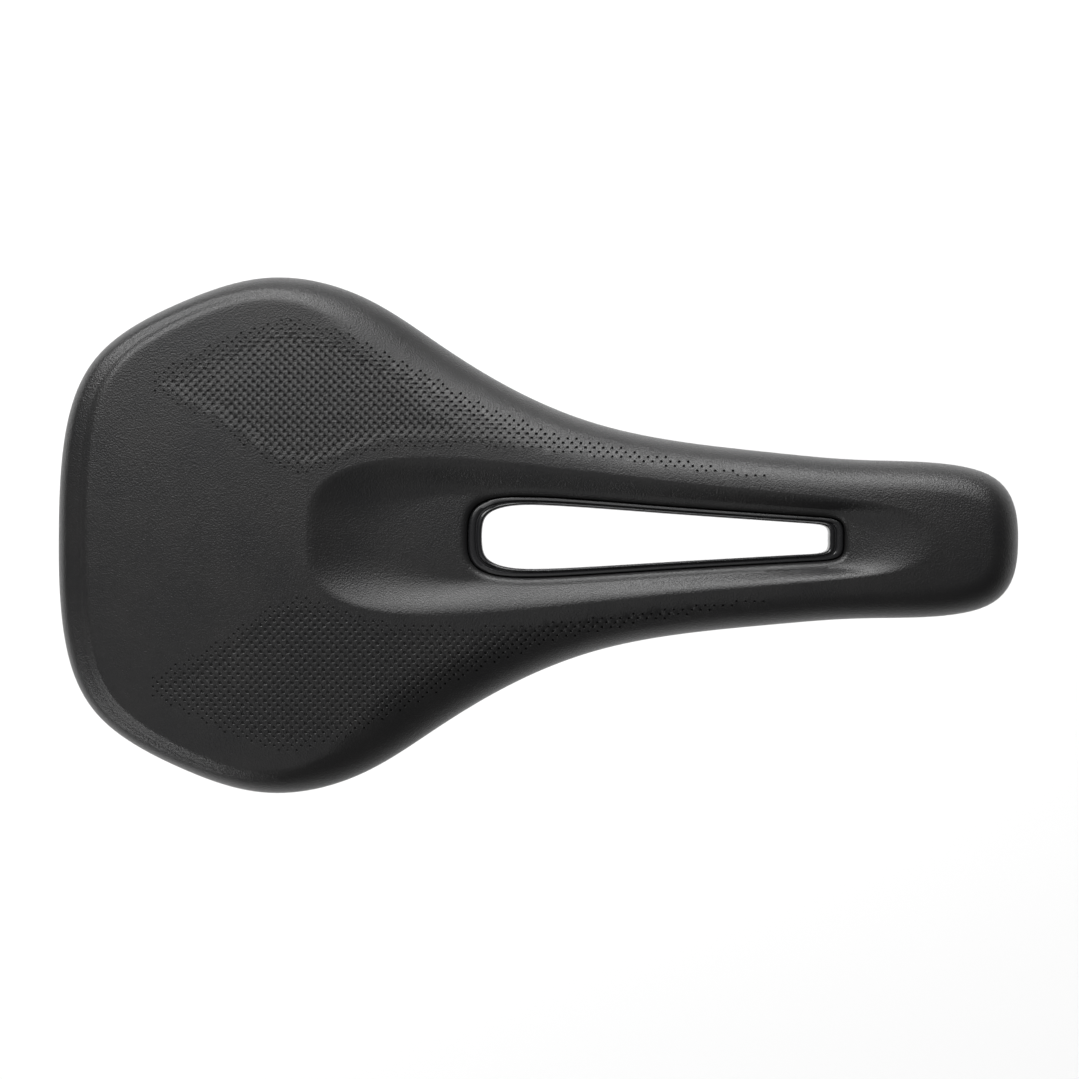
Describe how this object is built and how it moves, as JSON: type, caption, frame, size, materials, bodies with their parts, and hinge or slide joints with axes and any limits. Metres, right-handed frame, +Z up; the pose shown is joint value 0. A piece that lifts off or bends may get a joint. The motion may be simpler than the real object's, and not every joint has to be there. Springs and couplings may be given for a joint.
{
  "type": "bicycle saddle",
  "caption": "Short-nosed black road bicycle saddle: broad wings, an open relief slot in a soft channel, perforated microfibre cover, moulded base shell, bent steel rail.",
  "frame": {"origin": "seatpost clamp point: midway between the two rail axes, at the middle of their straight section", "axes": "+X to the nose, +Y to the rider's left, +Z up"},
  "size_m": [0.2648, 0.1422, 0.0531],
  "materials": {
    "cover_microfibre": "fine-grained black microfibre, satin, perforated on the wings",
    "pad_foam": "moulded polyurethane foam, matt",
    "gel": "soft translucent gel",
    "shell_nylon": "glass-filled nylon with a fine moulded texture",
    "liner_gloss": "smooth black plastic with a glossy lip",
    "rail_steel": "chromium-molybdenum steel with a satin black coat",
    "socket_nylon": "moulded nylon, satin",
    "bush_rubber": "firm elastomer, matt",
    "screw_steel": "zinc-plated steel, satin",
    "insert_brass": "turned brass"
  },
  "bodies": {
    "root": {"cover": "cover_microfibre", "foam_pad": "pad_foam", "gel_insert_left": "gel", "gel_insert_right": "gel", "base_shell": "shell_nylon", "slot_liner": "liner_gloss", "rail": "rail_steel", "nose_socket": "socket_nylon", "nose_keeper": "socket_nylon", "nose_bush": "bush_rubber", "nose_screws": "screw_steel", "nose_thread_inserts": "insert_brass", "rear_socket_left": "socket_nylon", "rear_socket_right": "socket_nylon", "rear_bush_left": "bush_rubber", "rear_bush_right": "bush_rubber", "rear_screws_left": "screw_steel", "rear_screws_right": "screw_steel", "rear_thread_inserts_left": "insert_brass", "rear_thread_inserts_right": "insert_brass"}
  },
  "joints": []
}
